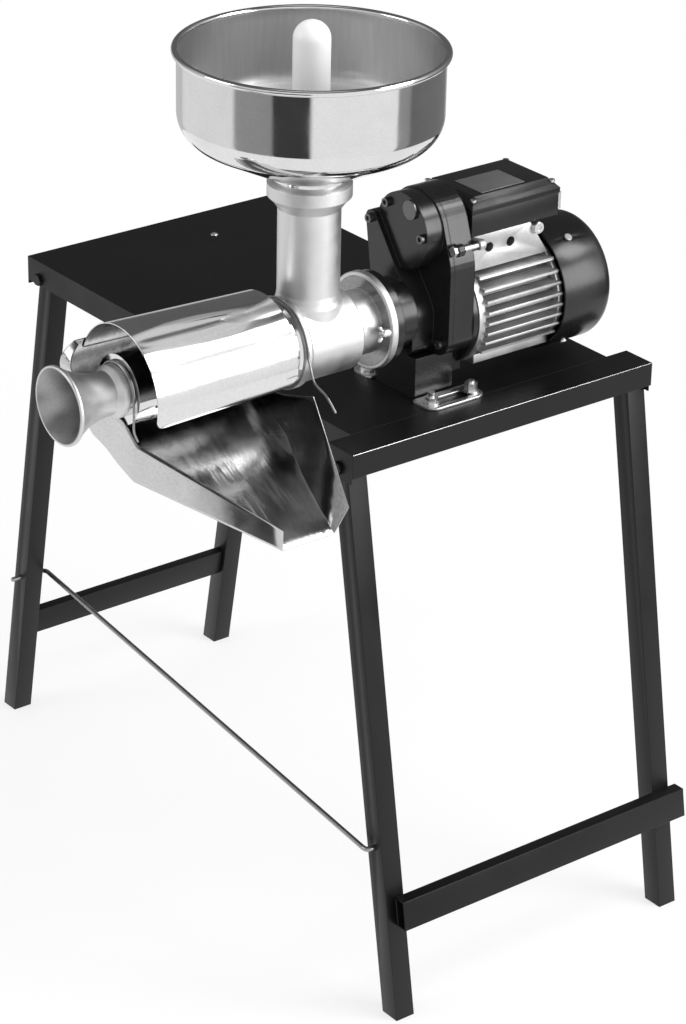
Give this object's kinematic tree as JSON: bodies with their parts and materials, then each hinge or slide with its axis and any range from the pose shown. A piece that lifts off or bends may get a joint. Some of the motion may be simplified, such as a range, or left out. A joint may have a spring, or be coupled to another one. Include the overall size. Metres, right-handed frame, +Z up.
{
  "type": "electric tomato press on a stand",
  "caption": "Electric tomato press on a splayed-leg sheet-steel stand: hopper and pusher over a screw press, guard, juice chute and waste funnel, driven by a geared motor.",
  "frame": {"origin": "on the floor, midway between the feet along X and midway between the waste funnel's mouth and the right stretcher's rear end along Y", "axes": "+Z up, +Y from the waste funnel back towards the motor, +X towards the end of the table that carries the press"},
  "size_m": [0.879, 0.738, 1.114],
  "materials": {
    "black_paint": "semi-gloss",
    "black_plastic": "satin",
    "polished_steel": "polished",
    "bright_steel": "satin",
    "zinc": "zinc plated",
    "cast_aluminium": "satin cast",
    "dark_steel": "oxidised",
    "copper_winding": "varnished",
    "white_plastic": "satin",
    "clear_rubber": "translucent",
    "label_grey": "satin"
  },
  "bodies": {
    "frame": {"table_panel": "black_paint", "end_channel": "black_paint", "leg_front_left": "black_paint", "leg_rear_left": "black_paint", "leg_front_right": "black_paint", "leg_rear_right": "black_paint", "leg_plugs": "black_plastic", "stretcher_left": "black_paint", "stretcher_right": "black_paint", "pivot_bolts": "zinc", "table_rivet": "zinc", "tie_rod": "zinc", "press_body": "cast_aluminium", "strainer": "polished_steel", "drip_chute": "polished_steel", "clip_front": "bright_steel", "clip_rear": "bright_steel", "gear_cover": "black_paint", "gear_case": "black_paint", "oil_plug": "dark_steel", "cover_bolts": "dark_steel", "through_bolts": "zinc", "foot_plates": "zinc", "foot_bolts": "zinc", "motor_housing": "cast_aluminium", "stator_core": "dark_steel", "windings": "copper_winding", "fan_cover": "black_plastic", "cover_screws": "zinc", "terminal_box": "black_plastic", "terminal_lid": "black_plastic", "lid_screws": "zinc", "label_plate": "label_grey", "switch_boot": "clear_rubber", "cable_gland": "black_plastic"},
    "rotor": {"motor_shaft": "bright_steel", "rotor_core": "dark_steel", "cooling_fan": "black_plastic"},
    "layshaft": {"layshaft": "bright_steel"},
    "screw": {"output_gear": "bright_steel", "auger": "bright_steel"},
    "hopper": {"hopper": "polished_steel"},
    "pusher": {"pusher": "white_plastic"},
    "guard": {"splash_guard": "polished_steel"},
    "funnel": {"waste_funnel": "cast_aluminium"},
    "wing_screw_right": {"wing_screw_right": "zinc"},
    "wing_screw_left": {"wing_screw_left": "zinc"},
    "rocker": {"switch_rocker": "white_plastic"}
  },
  "joints": [
    {"name": "motor_spin", "type": "hinge", "parent": "frame", "child": "rotor", "pos_m": [0.23, 0.2, 0.75], "axis": [0, 1, 0], "continuous": true},
    {"name": "layshaft_spin", "type": "hinge", "parent": "frame", "child": "layshaft", "pos_m": [0.23, 0.1, 0.814], "axis": [0, 1, 0], "continuous": true},
    {"name": "screw_spin", "type": "hinge", "parent": "frame", "child": "screw", "pos_m": [0.23, 0, 0.761], "axis": [0, 1, 0], "continuous": true},
    {"name": "hopper_lift", "type": "slide", "parent": "frame", "child": "hopper", "axis": [0, 0, 1], "range_m": [0, 0.06]},
    {"name": "pusher_lift", "type": "slide", "parent": "frame", "child": "pusher", "axis": [0, 0, 1], "range_m": [0, 0.38]},
    {"name": "guard_roll", "type": "hinge", "parent": "frame", "child": "guard", "pos_m": [0.23, -0.2, 0.761], "axis": [0, 1, 0], "range_deg": [-60, 0]},
    {"name": "funnel_turn", "type": "hinge", "parent": "frame", "child": "funnel", "pos_m": [0.23, -0.3, 0.761], "axis": [0, 1, 0], "range_deg": [-90, 0]},
    {"name": "wing_screw_right_turn", "type": "hinge", "parent": "frame", "child": "wing_screw_right", "pos_m": [0.27694, 0.02, 0.76346], "axis": [0, 1, 0], "range_deg": [-180, 180]},
    {"name": "wing_screw_left_turn", "type": "hinge", "parent": "frame", "child": "wing_screw_left", "pos_m": [0.18306, 0.02, 0.75854], "axis": [0, 1, 0], "range_deg": [-180, 180]},
    {"name": "rocker_press", "type": "hinge", "parent": "frame", "child": "rocker", "pos_m": [0.257, 0.262, 0.859], "axis": [1, 0, 0], "range_deg": [-8, 8]}
  ],
  "couplings": [
    {"joint": "layshaft_spin", "follows": "motor_spin", "ratio": -0.21212},
    {"joint": "screw_spin", "follows": "motor_spin", "ratio": 0.062084}
  ]
}
